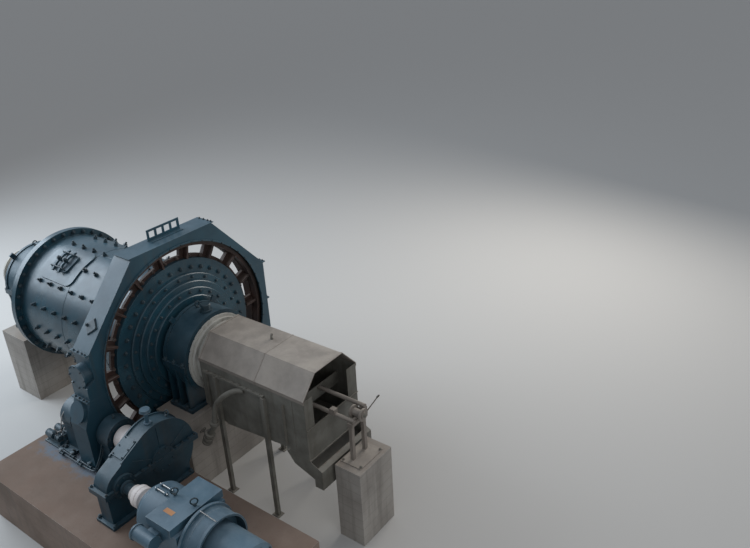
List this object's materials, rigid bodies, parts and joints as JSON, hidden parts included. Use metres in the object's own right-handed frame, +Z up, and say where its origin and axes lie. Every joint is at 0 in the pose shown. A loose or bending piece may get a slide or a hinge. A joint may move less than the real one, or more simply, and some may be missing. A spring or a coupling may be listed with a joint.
{
  "type": "ball mill",
  "caption": "Wet overflow ball mill with girth gear, guard, pinion drive, gearbox, motor, bearings on piers and a discharge hood with chute.",
  "frame": {"origin": "middle of the underside of the pier that carries the discharge bearing", "axes": "+X along the mill axis from the feed end to the discharge end, +Y level and away from the drive, +Z up"},
  "size_m": [9.76, 5.519, 4.609],
  "materials": {
    "blue_paint": "satin machine enamel, dusty",
    "beige_paint": "matt primer on sheet steel, dusty",
    "grey_paint": "matt light grey, stained",
    "cream_paint": "satin cream enamel",
    "gear_steel": "red-brown primer with dried grease",
    "concrete": "cast concrete"
  },
  "bodies": {
    "frame": {"feed_pier": "concrete", "discharge_pier": "concrete", "drive_pier": "concrete", "stand_pier": "concrete", "feed_bearing_base": "blue_paint", "feed_bearing_cap": "blue_paint", "discharge_bearing_base": "blue_paint", "discharge_bearing_cap": "blue_paint", "guard_top": "blue_paint", "guard_near_side": "blue_paint", "guard_far_side": "blue_paint", "guard_sump": "blue_paint", "guard_bracket": "blue_paint", "guard_side_cover": "blue_paint", "pinion_bearing_feed": "blue_paint", "pinion_bearing_out": "blue_paint", "gearbox_lower": "blue_paint", "gearbox_upper": "blue_paint", "gearbox_cover": "blue_paint", "gearbox_breather": "blue_paint", "motor_frame": "blue_paint", "motor_top_box": "blue_paint", "motor_cowl": "blue_paint", "motor_ring_housing": "blue_paint", "motor_terminal_box": "blue_paint", "motor_base": "blue_paint", "lube_pump_set": "blue_paint", "discharge_hood": "beige_paint", "discharge_box": "beige_paint", "discharge_chute": "beige_paint", "water_pipe": "beige_paint", "box_legs": "beige_paint", "outlet_stand": "beige_paint", "outlet_bars": "beige_paint", "outlet_rollers": "beige_paint"},
    "drum": {"shell": "blue_paint", "manhole_cover": "blue_paint", "feed_head": "blue_paint", "feed_spout": "grey_paint", "discharge_head": "blue_paint", "girth_gear": "gear_steel", "outlet_spout": "grey_paint"},
    "pinion": {"pinion_shaft": "gear_steel", "slow_coupling": "cream_paint"},
    "input_shaft": {"fast_coupling": "cream_paint"}
  },
  "joints": [
    {"name": "drum_spin", "type": "hinge", "parent": "frame", "child": "drum", "pos_m": [0, 0, 2.4], "axis": [1, 0, 0], "continuous": true},
    {"name": "pinion_spin", "type": "hinge", "parent": "frame", "child": "pinion", "pos_m": [0, -1.95388, 1.63035], "axis": [1, 0, 0], "continuous": true},
    {"name": "input_spin", "type": "hinge", "parent": "frame", "child": "input_shaft", "pos_m": [0, -2.70388, 1.63035], "axis": [1, 0, 0], "continuous": true}
  ],
  "couplings": [
    {"joint": "pinion_spin", "follows": "drum_spin", "ratio": -9},
    {"joint": "input_spin", "follows": "drum_spin", "ratio": 45}
  ]
}
